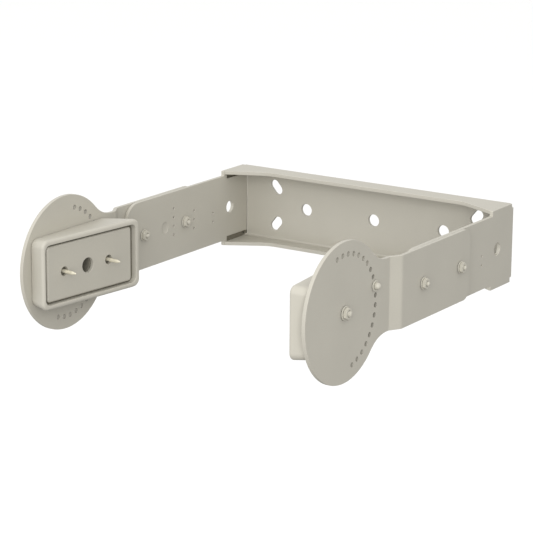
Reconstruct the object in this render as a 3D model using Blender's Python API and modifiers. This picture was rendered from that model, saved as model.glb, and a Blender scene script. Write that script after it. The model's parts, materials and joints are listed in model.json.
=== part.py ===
"""Wall yoke bracket with a pitch-indexed adapter on the end of each arm.

Metres, +Z up, +X to the right. The bracket bolts to a wall whose face is the plane y = 0, it reaches
forward along -Y, and it is the same on both sides of the plane x = 0. The arms' centreline and the pitch
axis lie in the plane z = 0. Lengths below are in millimetres and are turned to metres by MM.
"""

import math

import bmesh
import bpy
from mathutils import Matrix, Vector

MM = 0.001
GAP = 0.3                   # left between pieces that touch
NUDGE = 5.0                 # how far a cutter stands past the face it cuts

# Sheet metal
SHEET = 4.0                 # plate thickness of the channel and the arms
EAR_X = 174.9               # outer face of a channel ear, from the symmetry plane
CHANNEL_HALF = 43.65        # half the channel's height, over the flanges
ARM_HALF = 38.0             # half the height of an ear and of an arm
EAR_BEND = 6.0              # outer radius of the bend from the web to an ear
FLANGE_BEND = 7.0           # outer radius of the bend from the web to a flange
EAR_END_Y = -236.5          # front end of an ear
EAR_END_RADIUS = 20.0
FLANGE_END_Y = -51.4        # depth of the flanges beside the ears
FLANGE_STEP = 1.0           # the tapers start this far behind that
FLANGE_TOP_Y = -29.4        # depth of the top flange in the middle
FLANGE_BOTTOM_Y = -24.4     # depth of the bottom flange in the middle
FLANGE_TAPER_X = 127.0      # where the middle depth ends and the taper to the ears begins
FLANGE_BLEND = 30.0         # radius that blends the taper into the middle
EDGE_CORNER = 1.0           # small corners where the flanges step down to the ears
NOTCH_ALONG, NOTCH_ACROSS = 7.5, 3.5   # relief at the flanges' rear corners, along Y and X
NOTCH_ABOVE = 0.6           # how far above the ear's edge that relief stays
RELIEF_FROM = -45.5         # slot between an ear's edge and the flange, along Y
RELIEF_TO = -9.0
RELIEF_CORNER = -4.6        # it runs on to here, lower, round the corner to the web
RELIEF_HEIGHT = 5.6
RELIEF_DEPTH = 3.0

# Holes in the channel
WALL_HOLE = 14.0            # wall bolts and the hole at the root of an ear
WALL_HOLE_X = 89.3
SLOT_X, SLOT_Z = 130.3, 21.5
SLOT_WIDTH, SLOT_LENGTH = 11.0, 18.6
SLOT_TILT = math.radians(50.0)
EAR_HOLE_Y = -39.3
DIMPLE_Y = -165.9           # pressed dimple between the arm bolts, on the inner face
DIMPLE = 13.3
DIMPLE_DEPTH = 1.2
ARM_BOLT_Y = (-128.6, -205.7)
MARK_HOLE = 2.8             # length marks drilled beside the arm holes
MARKS = {-149.5: (19.0, 9.0, -1.0, -11.0), -110.5: (9.0, -1.0, -11.0), -73.4: (-1.0, -11.0)}

# Arms
ARM_END_Y = -108.0          # rear end of an arm, over the ear
ARM_END_RADIUS = 12.0
JOGGLE_Y = -247.9           # rear start of the joggle that brings the disc in line with the ear
JOGGLE_RUN = 12.5
JOGGLE_IN = 7.4
JOGGLE_RADIUS = 6.0         # at the middle of the plate
PIVOT_Y = -345.4
DISC_RADIUS = 71.2
NECK_RADIUS = 40.0          # concave blend from the arm's edge into the disc

# Pitch index
INDEX_CIRCLE = 57.8
INDEX_HOLE = 5.5
INDEX_STEP = 10.0           # degrees
INDEX_FIRST, INDEX_LAST = -75.0, 105.0   # on the right disc, from +Y towards +Z; mirrored on the left
INDEX_SET = 15.0            # hole that the index screw stands in

# Adapters, measured from the disc's inner face towards the symmetry plane
WEDGE = math.radians(7.0)   # the two faces close towards the wall
RIM_DEPTH = 27.5            # depth of the rim's plane on the pitch axis
RIM_FRONT, RIM_REAR = -63.0, 79.0        # along Y from the pitch axis
RIM_HALF = 37.2
BASE_FRONT, BASE_REAR = -57.5, 66.0      # the same where the housing meets the disc
BASE_HALF = 35.5
HOUSING_CORNER = 8.0
RIM_ROUND = 3.6
PLATE_FRONT, PLATE_REAR = -55.2, 67.9
PLATE_HALF = 29.4
PLATE_CORNER = 3.5
PLATE_THICK = 4.0
PLATE_SUNK = 2.2            # plate's face below the rim
RECESS_FRONT, RECESS_REAR = -59.2, 72.9  # the recess leaves a groove open all round the plate
RECESS_HALF = 31.6
RECESS_CORNER = 6.0
CENTRE_HOLE = 16.0
CENTRE_HOLE_Y = 3.0         # behind the pitch axis, along the face
PIN_HOLE = 10.0
PINS_Y = (-30.8, 33.8)      # the front and the rear pin, likewise
PIN = 3.8
PIN_END = 1.8               # diameter of the rounded end
PIN_REACH = 16.6            # above the plate's face
PIN_POINT = 4.5             # length of the tapered end
PIN_ROOT = 5.0              # in the housing, under the plate
HEAD_POCKET = 20.0
POCKET_FLOOR = 8.0

# Fasteners: thread, hexagon across flats, nut height, head height, washer diameter and thickness
ARM_BOLT = {"thread": 5.0, "flats": 10.4, "nut": 3.4, "head": 3.5, "washer": 13.4, "thick": 1.0, "end": 2.4}
PIVOT_BOLT = {"thread": 6.0, "flats": 11.0, "nut": 3.6, "head": 4.0, "washer": 14.8, "thick": 1.2, "end": 2.6}
INDEX_SCREW = {"thread": 4.0, "head": 5.2, "across": 7.2, "washer": 11.6, "thick": 1.0}
CROWN_INSET, CROWN_FALL = 1.2, 1.4      # rounding of an index screw's head
THREAD_POINT = 0.9          # chamfer on a bolt's end
SHORT_OF_DISC = 0.2         # how far an index screw ends inside the disc's inner face
FRICTION_WASHER = 34.0
FRICTION_THICK = 2.0

# What follows from them
EAR_IN = EAR_X - SHEET
ARM_IN = EAR_X + GAP
ARM_OUT = ARM_IN + SHEET
DISC_IN = ARM_IN - JOGGLE_IN
DISC_OUT = DISC_IN + SHEET
BACK_X = DISC_IN - GAP      # back of an adapter
ROUND = 24                  # sides of a round piece

# name: colour, roughness, metallic
FINISHES = {
    "powder_coat": ((0.47, 0.44, 0.36, 1.0), 0.42, 0.0),
    "cast_coat": ((0.49, 0.46, 0.38, 1.0), 0.45, 0.0),
    "pad_coat": ((0.44, 0.41, 0.34, 1.0), 0.48, 0.0),
    "coated_fastener": ((0.58, 0.55, 0.45, 1.0), 0.38, 0.0),
    "passivated_steel": ((0.72, 0.66, 0.47, 1.0), 0.32, 0.6),
    "friction_fibre": ((0.12, 0.10, 0.08, 1.0), 0.85, 0.0),
}

# Local axes of a flat outline: seen from above, from the side (its x runs along Y) and from the front
FROM_ABOVE = Matrix.Identity(4)
FROM_SIDE = Matrix(((0, 0, 1, 0), (1, 0, 0, 0), (0, 1, 0, 0), (0, 0, 0, 1)))
FROM_FRONT = Matrix(((1, 0, 0, 0), (0, 0, -1, 0), (0, 1, 0, 0), (0, 0, 0, 1)))


# ---------------------------------------------------------------- outlines

def arc(centre, radius, start, end, steps=8):
    """Points on an arc, with its angles in degrees."""
    angles = [math.radians(start + (end - start) * i / steps) for i in range(steps + 1)]
    return [(centre[0] + radius * math.cos(a), centre[1] + radius * math.sin(a)) for a in angles]


def circle(centre, diameter, sides=16):
    """A round hole or edge as a closed outline."""
    return arc(centre, diameter / 2, 0, 360 - 360 / sides, sides - 1)


def rounded(corners, radii, steps=6):
    """A closed outline with each corner rounded to its radius."""
    points = []
    count = len(corners)
    for i, corner in enumerate(corners):
        here = Vector(corner)
        before = (Vector(corners[i - 1]) - here).normalized()
        after = (Vector(corners[(i + 1) % count]) - here).normalized()
        radius = radii[i]
        if radius == 0:
            points.append(tuple(here))
            continue
        half = before.angle(after) / 2
        centre = here + (before + after).normalized() * radius / math.sin(half)
        first = here + before * radius / math.tan(half) - centre
        turn = math.atan2(first.x * (centre - here).y - first.y * (centre - here).x, 1.0)
        sweep = math.copysign(math.pi - 2 * half, -turn)
        for k in range(steps + 1):
            angle = sweep * k / steps
            spun = Matrix.Rotation(angle, 2) @ first
            points.append(tuple(centre + spun))
    return points


def ribbon(path, thickness):
    """A closed outline of even thickness around an open path."""
    left, right = [], []
    for i, point in enumerate(path):
        here = Vector(point)
        ahead = Vector(path[min(i + 1, len(path) - 1)])
        behind = Vector(path[max(i - 1, 0)])
        along = (ahead - behind).normalized()
        side = Vector((-along.y, along.x)) * thickness / 2
        left.append(tuple(here + side))
        right.append(tuple(here - side))
    return left + right[::-1]


# ---------------------------------------------------------------- making objects

def material(name):
    """The shared finish of that name."""
    found = bpy.data.materials.get(name)
    if found:
        return found
    colour, roughness, metallic = FINISHES[name]
    made = bpy.data.materials.new(name)
    made.use_nodes = True
    shader = made.node_tree.nodes["Principled BSDF"]
    shader.inputs["Base Color"].default_value = colour
    shader.inputs["Roughness"].default_value = roughness
    shader.inputs["Metallic"].default_value = metallic
    made.diffuse_color = colour
    return made


def own_material(finish, name):
    """A copy of a finish for one sub-part."""
    made = material(finish).copy()
    made.name = name + "_" + finish
    return made


def link(name, mesh, collection, finish=None):
    """A new object with that mesh, and a finish of its own unless it is a cutter."""
    piece = bpy.data.objects.new(name, mesh)
    mesh.name = name
    collection.objects.link(piece)
    if finish:
        mesh.materials.clear()
        mesh.materials.append(own_material(finish, name))
    return piece


def flat_outline(outlines, low, high, axes):
    """Mesh of flat outlines in millimetres, thickened from low to high; inner outlines are holes."""
    curve = bpy.data.curves.new("outline", "CURVE")
    curve.dimensions = "2D"
    curve.fill_mode = "BOTH"
    curve.extrude = (high - low) / 2 * MM
    for outline in outlines:
        spline = curve.splines.new("POLY")
        spline.points.add(len(outline) - 1)
        for point, (u, v) in zip(spline.points, outline):
            point.co = (u * MM, v * MM, 0, 1)
        spline.use_cyclic_u = True
    holder = bpy.data.objects.new("outline", curve)
    bpy.context.scene.collection.objects.link(holder)
    seen = holder.evaluated_get(bpy.context.evaluated_depsgraph_get())
    mesh = bpy.data.meshes.new_from_object(seen)
    bpy.data.objects.remove(holder)
    bpy.data.curves.remove(curve)
    shape = bmesh.new()
    shape.from_mesh(mesh)
    bmesh.ops.remove_doubles(shape, verts=shape.verts, dist=1e-6)
    bmesh.ops.translate(shape, verts=shape.verts, vec=(0, 0, (low + high) / 2 * MM))
    bmesh.ops.transform(shape, matrix=axes, verts=shape.verts)
    bmesh.ops.recalc_face_normals(shape, faces=shape.faces)
    shape.to_mesh(mesh)
    shape.free()
    return mesh


def turned(profile, sides=ROUND):
    """Mesh of a profile of (radius, height) in millimetres, listed downwards and spun about Z."""
    mesh = bpy.data.meshes.new("profile")
    points = [(radius * MM, 0, height * MM) for radius, height in profile]
    mesh.from_pydata(points, [(i, i + 1) for i in range(len(points) - 1)], [])
    holder = bpy.data.objects.new("profile", mesh)
    bpy.context.scene.collection.objects.link(holder)
    screw = holder.modifiers.new("turn", "SCREW")
    screw.steps = screw.render_steps = sides
    screw.use_merge_vertices = True
    screw.merge_threshold = 0.000001
    seen = holder.evaluated_get(bpy.context.evaluated_depsgraph_get())
    spun = bpy.data.meshes.new_from_object(seen)
    bpy.data.objects.remove(holder)
    bpy.data.meshes.remove(mesh)
    shape = bmesh.new()
    shape.from_mesh(spun)
    bmesh.ops.remove_doubles(shape, verts=shape.verts, dist=1e-6)
    bmesh.ops.recalc_face_normals(shape, faces=shape.faces)
    shape.to_mesh(spun)
    shape.free()
    return spun


def cylinder(diameter, low, high, sides=ROUND):
    """Mesh of a plain cylinder along Z in millimetres."""
    shape = bmesh.new()
    bmesh.ops.create_cone(shape, cap_ends=True, segments=sides, radius1=diameter / 2 * MM,
                          radius2=diameter / 2 * MM, depth=(high - low) * MM)
    bmesh.ops.translate(shape, verts=shape.verts, vec=(0, 0, (low + high) / 2 * MM))
    mesh = bpy.data.meshes.new("cylinder")
    shape.to_mesh(mesh)
    shape.free()
    return mesh


def dish(diameter, depth):
    """Mesh that cuts a shallow dish with its rim at z = 0 and its bottom at z = depth."""
    bowl = [(across * diameter / 2, high * depth) for across, high in arc((0, 0), 1, 90, 0, 6)]
    return turned(bowl + [(diameter / 2, -NUDGE), (0, -NUDGE)])


def box(corner, opposite):
    """Mesh of a box between two opposite corners in millimetres."""
    low = Vector(map(min, corner, opposite)) * MM
    high = Vector(map(max, corner, opposite)) * MM
    shape = bmesh.new()
    bmesh.ops.create_cube(shape, size=1.0)
    bmesh.ops.scale(shape, vec=high - low, verts=shape.verts)
    bmesh.ops.translate(shape, verts=shape.verts, vec=(low + high) / 2)
    mesh = bpy.data.meshes.new("box")
    shape.to_mesh(mesh)
    shape.free()
    return mesh


def mirrored(mesh):
    """A copy of a mesh on the other side of the symmetry plane."""
    shape = bmesh.new()
    shape.from_mesh(mesh)
    bmesh.ops.scale(shape, vec=(-1, 1, 1), verts=shape.verts)
    bmesh.ops.reverse_faces(shape, faces=shape.faces)
    copy = bpy.data.meshes.new("mirrored")
    shape.to_mesh(copy)
    shape.free()
    return copy


def cut(piece, mesh, operation="DIFFERENCE"):
    """Cut the piece with a mesh, or join or keep what both share, by a live exact Boolean."""
    cutter = link(piece.name + "_cutter", mesh, cutters)
    cutter.hide_render = True
    cutter.display_type = "WIRE"
    cutter.matrix_world = piece.matrix_world.copy()
    boolean = piece.modifiers.new("cut", "BOOLEAN")
    boolean.operation = operation
    boolean.solver = "EXACT"
    boolean.object = cutter
    return cutter


def smooth(mesh, angle=35):
    """Round surfaces shaded smooth, with real edges left sharp."""
    mesh.shade_smooth()
    mesh.set_sharp_from_angle(angle=math.radians(angle))


def at(x, y, z):
    """A place in millimetres."""
    return Matrix.Translation(Vector((x, y, z)) * MM)


def facing(x, y, z, direction):
    """A place whose own Z runs along +X (1) or -X (-1)."""
    return at(x, y, z) @ Matrix.Rotation(direction * math.pi / 2, 4, "Y")


def placed(mesh, axes):
    """The mesh moved to those axes."""
    mesh.transform(axes)
    return mesh


# ---------------------------------------------------------------- the channel

def flange_cutter(middle_y, low, high):
    """What is missing in front of one flange: the ends stay deep and taper to the middle."""
    front = EAR_END_Y - NUDGE
    corners = [
        (-EAR_IN, front), (EAR_IN, front), (EAR_IN, FLANGE_END_Y + FLANGE_STEP),
        (FLANGE_TAPER_X, middle_y), (-FLANGE_TAPER_X, middle_y), (-EAR_IN, FLANGE_END_Y + FLANGE_STEP),
    ]
    radii = [0, 0, 0, FLANGE_BLEND, FLANGE_BLEND, 0]
    return flat_outline([rounded(corners, radii)], low, high, FROM_ABOVE)


def slot(centre_x, centre_z, tilt):
    """A long hole with round ends, seen from the front."""
    run = (SLOT_LENGTH - SLOT_WIDTH) / 2
    heading = math.degrees(tilt)
    along = Vector((math.cos(tilt), math.sin(tilt))) * run
    middle = Vector((centre_x, centre_z))
    return (arc(tuple(middle + along), SLOT_WIDTH / 2, heading - 90, heading + 90)
            + arc(tuple(middle - along), SLOT_WIDTH / 2, heading + 90, heading + 270))


def yoke_channel():
    """The folded wall channel: web, two flanges and two long ears, one sheet."""
    front = EAR_END_Y - NUDGE
    ear_inside = EAR_BEND - SHEET
    flange_inside = FLANGE_BEND - SHEET

    plan = rounded([(-EAR_X, EAR_END_Y), (EAR_X, EAR_END_Y), (EAR_X, 0), (-EAR_X, 0)],
                   [0, 0, EAR_BEND, EAR_BEND])
    side = rounded(
        [(0, CHANNEL_HALF), (FLANGE_END_Y, CHANNEL_HALF),
         (FLANGE_END_Y, ARM_HALF), (EAR_END_Y, ARM_HALF),
         (EAR_END_Y, -ARM_HALF), (FLANGE_END_Y, -ARM_HALF),
         (FLANGE_END_Y, -CHANNEL_HALF), (0, -CHANNEL_HALF)],
        [FLANGE_BEND, EDGE_CORNER, EDGE_CORNER, EAR_END_RADIUS,
         EAR_END_RADIUS, EDGE_CORNER, EDGE_CORNER, FLANGE_BEND], 5)
    inner_plan = rounded([(-EAR_IN, front), (EAR_IN, front), (EAR_IN, -SHEET), (-EAR_IN, -SHEET)],
                         [0, 0, ear_inside, ear_inside])
    inner_half = CHANNEL_HALF - SHEET
    inner_side = rounded(
        [(-SHEET, inner_half), (front - NUDGE, inner_half),
         (front - NUDGE, -inner_half), (-SHEET, -inner_half)],
        [flange_inside, 0, 0, flange_inside], 5)

    low, high = -CHANNEL_HALF - NUDGE, CHANNEL_HALF + NUDGE
    piece = link("yoke_channel", flat_outline([plan], low, high, FROM_ABOVE), parts, "powder_coat")
    cut(piece, flat_outline([side], -EAR_X - NUDGE, EAR_X + NUDGE, FROM_SIDE), "INTERSECT")
    hollow = cut(piece, flat_outline([inner_plan], low, high, FROM_ABOVE))
    cut(hollow, flat_outline([inner_side], -EAR_X, EAR_X, FROM_SIDE), "INTERSECT")
    cut(piece, flange_cutter(FLANGE_TOP_Y, inner_half - NUDGE, high))
    cut(piece, flange_cutter(FLANGE_BOTTOM_Y, low, NUDGE - inner_half))

    for side_x in (-1, 1):
        for side_z in (-1, 1):
            corner = [side_x * (EAR_X - NOTCH_ACROSS), -NOTCH_ALONG, side_z * (ARM_HALF + NOTCH_ABOVE)]
            outside = [side_x * (EAR_X + NUDGE), NUDGE, side_z * (CHANNEL_HALF + NUDGE)]
            cut(piece, box(corner, outside))
            near = [side_x * (EAR_IN - GAP), RELIEF_FROM, side_z * (inner_half - RELIEF_HEIGHT)]
            far = [side_x * (EAR_IN + RELIEF_DEPTH), RELIEF_TO, side_z * (inner_half + GAP)]
            cut(piece, box(near, far))
            foot = inner_half - RELIEF_HEIGHT + GAP
            near = [side_x * (EAR_IN - EAR_BEND / 2), RELIEF_TO - GAP, side_z * foot]
            far = [side_x * (EAR_IN + RELIEF_DEPTH - GAP), RELIEF_CORNER, side_z * ARM_HALF]
            cut(piece, box(near, far))

    web_holes = [circle((x, 0), WALL_HOLE, ROUND) for x in (-WALL_HOLE_X, 0, WALL_HOLE_X)]
    for side_x in (-1, 1):
        for side_z in (-1, 1):
            # each slot points from its corner towards the middle of the web
            web_holes.append(slot(side_x * SLOT_X, side_z * SLOT_Z, SLOT_TILT * side_x * side_z))
    for outline in web_holes:
        cut(piece, flat_outline([outline], -NUDGE, SHEET + NUDGE, FROM_FRONT))

    ear_holes = [circle((EAR_HOLE_Y, 0), WALL_HOLE, ROUND)]
    ear_holes += [circle((y, 0), ARM_BOLT["thread"] + 2 * GAP, 16) for y in ARM_BOLT_Y]
    ear_holes += [circle((y, z), MARK_HOLE, 8) for y, column in MARKS.items() for z in column]
    for outline in ear_holes:
        cut(piece, flat_outline([outline], -EAR_X - NUDGE, EAR_X + NUDGE, FROM_SIDE))
    for side_x in (-1, 1):
        cut(piece, placed(dish(DIMPLE, DIMPLE_DEPTH), facing(side_x * EAR_IN, DIMPLE_Y, 0, side_x)))
    return piece


# ---------------------------------------------------------------- the arms

def index_angles(side):
    """Angles of a disc's index holes, from +Y towards +Z, on the right (1) or the left (-1)."""
    count = round((INDEX_LAST - INDEX_FIRST) / INDEX_STEP) + 1
    return [side * (INDEX_FIRST + INDEX_STEP * i) for i in range(count)]


def on_disc(angle, radius):
    """A place on a disc's side view at an angle in degrees."""
    return PIVOT_Y + radius * math.cos(math.radians(angle)), radius * math.sin(math.radians(angle))


def arm_outline():
    """Side view of an arm: a strap with round rear corners that widens into the disc."""
    reach = DISC_RADIUS + NECK_RADIUS
    rise = ARM_HALF + NECK_RADIUS
    run = math.sqrt(reach ** 2 - rise ** 2)
    lean = math.degrees(math.atan2(rise, run))
    top = arc((ARM_END_Y - ARM_END_RADIUS, ARM_HALF - ARM_END_RADIUS), ARM_END_RADIUS, 0, 90)
    top += arc((PIVOT_Y + run, rise), NECK_RADIUS, 270, 180 + lean, 8)
    disc = arc((PIVOT_Y, 0), DISC_RADIUS, lean, 360 - lean, 56)[1:-1]
    bottom = [(y, -z) for y, z in reversed(top)]
    return top + disc + bottom


def arm(name, side):
    """One flat arm with its joggle, pitch disc and holes."""
    mid_rear = ARM_IN + SHEET / 2
    mid_disc = DISC_IN + SHEET / 2
    slope = math.atan2(JOGGLE_IN, JOGGLE_RUN)
    tangent = JOGGLE_RADIUS * math.tan(slope / 2)
    lean = math.degrees(slope)
    path = [(mid_rear, ARM_END_Y + NUDGE)]
    path += arc((mid_rear - JOGGLE_RADIUS, JOGGLE_Y + tangent), JOGGLE_RADIUS, 0, -lean, 4)
    end = JOGGLE_Y - JOGGLE_RUN - tangent
    path += arc((mid_disc + JOGGLE_RADIUS, end), JOGGLE_RADIUS, 180 - lean, 180, 4)
    path += [(mid_disc, PIVOT_Y - DISC_RADIUS - NUDGE)]
    outline = ribbon([(x * side, y) for x, y in path], SHEET)

    holes = [circle(on_disc(angle, INDEX_CIRCLE), INDEX_HOLE, 12) for angle in index_angles(side)]
    holes.append(circle((PIVOT_Y, 0), PIVOT_BOLT["thread"] + 2 * GAP, ROUND))
    holes += [circle((y, 0), ARM_BOLT["thread"] + 2 * GAP, 16) for y in ARM_BOLT_Y]
    low, high = sorted((side * (DISC_IN - NUDGE), side * (ARM_OUT + NUDGE)))
    piece = link(name, flat_outline([outline], -DISC_RADIUS - NUDGE, DISC_RADIUS + NUDGE, FROM_ABOVE),
                 parts, "powder_coat")
    cut(piece, flat_outline([arm_outline()] + holes, low, high, FROM_SIDE), "INTERSECT")
    return piece


# ---------------------------------------------------------------- fasteners

def hexagon(flats):
    """A hexagonal outline of that size across flats."""
    return circle((0, 0), flats / math.cos(math.radians(30)), 6)


def nut(name, kind, place):
    """A hexagon nut standing on z = 0 of its place."""
    bore = kind["thread"] + 2 * GAP
    mesh = flat_outline([hexagon(kind["flats"]), circle((0, 0), bore, 16)], 0, kind["nut"], FROM_ABOVE)
    piece = link(name, mesh, parts, "coated_fastener")
    piece.matrix_world = place
    return piece


def washer(name, outside, bore, thick, place, finish="coated_fastener"):
    """A flat washer standing on z = 0 of its place."""
    mesh = flat_outline([circle((0, 0), outside, ROUND), circle((0, 0), bore, 16)], 0, thick, FROM_ABOVE)
    piece = link(name, mesh, parts, finish)
    piece.matrix_world = place
    return piece


def hex_bolt(name, kind, length, place):
    """A hexagon bolt whose shank runs up from z = 0 of its place, with the head below."""
    radius = kind["thread"] / 2
    in_head = -kind["head"] / 2
    profile = [(0, length), (radius - THREAD_POINT, length), (radius, length - THREAD_POINT),
               (radius, in_head), (0, in_head)]
    shank = turned(profile, 16)
    piece = link(name, shank, parts, "coated_fastener")
    piece.matrix_world = place
    cut(piece, flat_outline([hexagon(kind["flats"])], -kind["head"], 0, FROM_ABOVE), "UNION")
    return piece


def arm_fasteners():
    """Bolts, washers and nuts of the arms; every nut is on the side that faces +X."""
    for side, word in ((-1, "left"), (1, "right")):
        faces = sorted((side * EAR_IN, side * ARM_OUT))
        for y, place in zip(ARM_BOLT_Y, ("rear", "front")):
            name = word + "_arm_" + place
            grip = faces[1] - faces[0] + 2 * GAP
            stack = grip + ARM_BOLT["thick"] + GAP + ARM_BOLT["nut"] + ARM_BOLT["end"]
            hex_bolt(name + "_bolt", ARM_BOLT, stack, facing(faces[0] - GAP, y, 0, 1))
            washer(name + "_washer", ARM_BOLT["washer"], ARM_BOLT["thread"] + 2 * GAP, ARM_BOLT["thick"],
                   facing(faces[1] + GAP, y, 0, 1))
            nut(name + "_nut", ARM_BOLT, facing(faces[1] + 2 * GAP + ARM_BOLT["thick"], y, 0, 1))


def pivot_fasteners(side, word):
    """The bolt that an adapter turns on, its washer and its nut outside the disc."""
    grip = DISC_OUT - BACK_X + POCKET_FLOOR + 2 * GAP
    stack = grip + PIVOT_BOLT["thick"] + GAP + PIVOT_BOLT["nut"] + PIVOT_BOLT["end"]
    hex_bolt(word + "_pivot_bolt", PIVOT_BOLT, stack,
             facing(side * (BACK_X - POCKET_FLOOR - GAP), PIVOT_Y, 0, side))
    washer(word + "_pivot_washer", PIVOT_BOLT["washer"], PIVOT_BOLT["thread"] + 2 * GAP, PIVOT_BOLT["thick"],
           facing(side * (DISC_OUT + GAP), PIVOT_Y, 0, side))
    nut(word + "_pivot_nut", PIVOT_BOLT,
        facing(side * (DISC_OUT + 2 * GAP + PIVOT_BOLT["thick"]), PIVOT_Y, 0, side))


def index_fasteners(side, word):
    """The screw in the set index hole and its washer."""
    y, z = on_disc(side * INDEX_SET, INDEX_CIRCLE)
    seat = DISC_OUT + GAP
    washer(word + "_index_washer", INDEX_SCREW["washer"], INDEX_SCREW["thread"] + 2 * GAP,
           INDEX_SCREW["thick"], facing(side * seat, y, z, side))
    radius = INDEX_SCREW["thread"] / 2
    half = INDEX_SCREW["across"] / 2
    # heights run outwards from the disc's inner face
    foot = SHEET + 2 * GAP + INDEX_SCREW["thick"]
    top = foot + INDEX_SCREW["head"]
    profile = [(0, top), (half - CROWN_INSET, top), (half - CROWN_INSET / 3, top - CROWN_FALL / 3),
               (half, top - CROWN_FALL), (half, foot), (radius, foot),
               (radius, SHORT_OF_DISC), (0, SHORT_OF_DISC)]
    piece = link(word + "_index_screw", turned(profile, 16), parts, "coated_fastener")
    piece.matrix_world = facing(side * DISC_IN, y, z, side)


# ---------------------------------------------------------------- the adapters

def rim_depth(y):
    """Depth of the rim's plane below the disc's inner face at a distance behind the pitch axis."""
    return RIM_DEPTH + math.tan(WEDGE) * y


def face_axes(sunk):
    """Axes of the right adapter's face: x along it to the rear, y down, z out of it; sunk below the rim."""
    out = Vector((-math.cos(WEDGE), -math.sin(WEDGE), 0))
    along = Vector((-math.sin(WEDGE), math.cos(WEDGE), 0))
    origin = Vector((DISC_IN - RIM_DEPTH, PIVOT_Y, 0)) - out * sunk
    turn = Matrix((along, out.cross(along), out)).transposed().to_4x4()
    return Matrix.Translation(origin * MM) @ turn


def face_outline(front, rear, half, corner):
    """A rectangle with round corners on the adapter's face."""
    return rounded([(front, -half), (rear, -half), (rear, half), (front, half)], [corner] * 4, 4)


def housing_mesh():
    """Outer shape of the right housing: a drafted wedge with round corners and a soft rim."""
    shape = bmesh.new()
    bmesh.ops.create_cube(shape, size=2.0)
    for corner in shape.verts:
        # x = 1 is the back against the disc, x = -1 the rim; y = -1 is the front end
        at_rim = corner.co.x < 0
        rear = corner.co.y > 0
        if at_rim:
            along = RIM_REAR if rear else RIM_FRONT
            half, depth = RIM_HALF, rim_depth(along)
        else:
            along = BASE_REAR if rear else BASE_FRONT
            half, depth = BASE_HALF, GAP
        corner.co = Vector((DISC_IN - depth, PIVOT_Y + along, math.copysign(half, corner.co.z))) * MM
    steep = math.cos(math.pi / 4)
    depth_edges = [e for e in shape.edges if abs((e.verts[0].co - e.verts[1].co).normalized().x) > steep]
    bmesh.ops.bevel(shape, geom=depth_edges, offset=HOUSING_CORNER * MM, segments=6, profile=0.5,
                    affect="EDGES", material=-1)
    tilt = face_axes(0).inverted()
    rim_edges = [e for e in shape.edges if all(abs((tilt @ v.co).z) < 0.05 * MM for v in e.verts)]
    bmesh.ops.bevel(shape, geom=rim_edges, offset=RIM_ROUND * MM, segments=4, profile=0.5,
                    affect="EDGES", material=-1)
    bmesh.ops.recalc_face_normals(shape, faces=shape.faces)
    mesh = bpy.data.meshes.new("housing")
    shape.to_mesh(mesh)
    shape.free()
    return mesh


def reflect(mesh, side):
    """The mesh for the right, or its mirror image for the left."""
    return mesh if side > 0 else mirrored(mesh)


def adapter(side, word, axis):
    """A housing, its plate, two pins and the friction washer behind it, all turning about the pitch axis."""
    housing = link(word + "_adapter_housing", reflect(housing_mesh(), side), parts, "cast_coat")
    floor = PLATE_THICK + PLATE_SUNK + GAP
    recess = placed(flat_outline([face_outline(RECESS_FRONT, RECESS_REAR, RECESS_HALF, RECESS_CORNER)],
                                 0, floor + NUDGE, FROM_ABOVE), face_axes(floor))
    cut(housing, reflect(recess, side))
    pocket = placed(cylinder(HEAD_POCKET, POCKET_FLOOR, 2 * RIM_DEPTH), facing(BACK_X, PIVOT_Y, 0, -1))
    cut(housing, reflect(pocket, side))
    bore = placed(cylinder(PIVOT_BOLT["thread"] + 2 * GAP, -NUDGE, POCKET_FLOOR + NUDGE),
                  facing(BACK_X, PIVOT_Y, 0, -1))
    cut(housing, reflect(bore, side))
    seat = placed(cylinder(FRICTION_WASHER + 4 * GAP, -NUDGE, FRICTION_THICK + GAP),
                  facing(BACK_X, PIVOT_Y, 0, -1))
    cut(housing, reflect(seat, side))
    sunk = PLATE_SUNK + PLATE_THICK + PIN_ROOT
    for y in PINS_Y:
        root = placed(cylinder(PIN + 2 * GAP, 0, PIN_ROOT + NUDGE, 16), face_axes(sunk) @ at(y, 0, 0))
        cut(housing, reflect(root, side))

    holes = [circle((CENTRE_HOLE_Y, 0), CENTRE_HOLE, ROUND)]
    holes += [circle((y, 0), PIN_HOLE, ROUND) for y in PINS_Y]
    edge = face_outline(PLATE_FRONT, PLATE_REAR, PLATE_HALF, PLATE_CORNER)
    back = face_axes(PLATE_SUNK + PLATE_THICK)
    face = placed(flat_outline([edge] + holes, 0, PLATE_THICK, FROM_ABOVE), back)
    plate = link(word + "_adapter_plate", reflect(face, side), parts, "pad_coat")

    pins = []
    for y, place in zip(PINS_Y, ("front", "rear")):
        tip = PIN_REACH + PLATE_THICK + PIN_ROOT
        profile = [(0, tip), (PIN_END / 2, tip - PIN_END / 4), (PIN / 2, tip - PIN_POINT),
                   (PIN / 2, GAP), (0, GAP)]
        pin = placed(turned(profile, 16), face_axes(sunk) @ at(y, 0, 0))
        pins.append(link(word + "_" + place + "_pin", reflect(pin, side), parts, "passivated_steel"))

    disc = washer(word + "_friction_washer", FRICTION_WASHER, PIVOT_BOLT["thread"] + 2 * GAP, FRICTION_THICK,
                  facing(side * BACK_X, PIVOT_Y, 0, -side), "friction_fibre")
    for piece in [housing, plate, disc] + pins:
        where = piece.matrix_world.copy()
        piece.parent = axis
        piece.matrix_parent_inverse = axis.matrix_world.inverted()
        piece.matrix_world = where


# ---------------------------------------------------------------- the whole bracket

def pitch_axis(side, word):
    """An empty on the pitch axis, which an adapter's pieces hang on."""
    axis = bpy.data.objects.new(word + "_pitch_axis", None)
    axis.matrix_world = at(side * BACK_X, PIVOT_Y, 0)
    parts.objects.link(axis)
    bpy.context.view_layer.update()
    return axis


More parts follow.
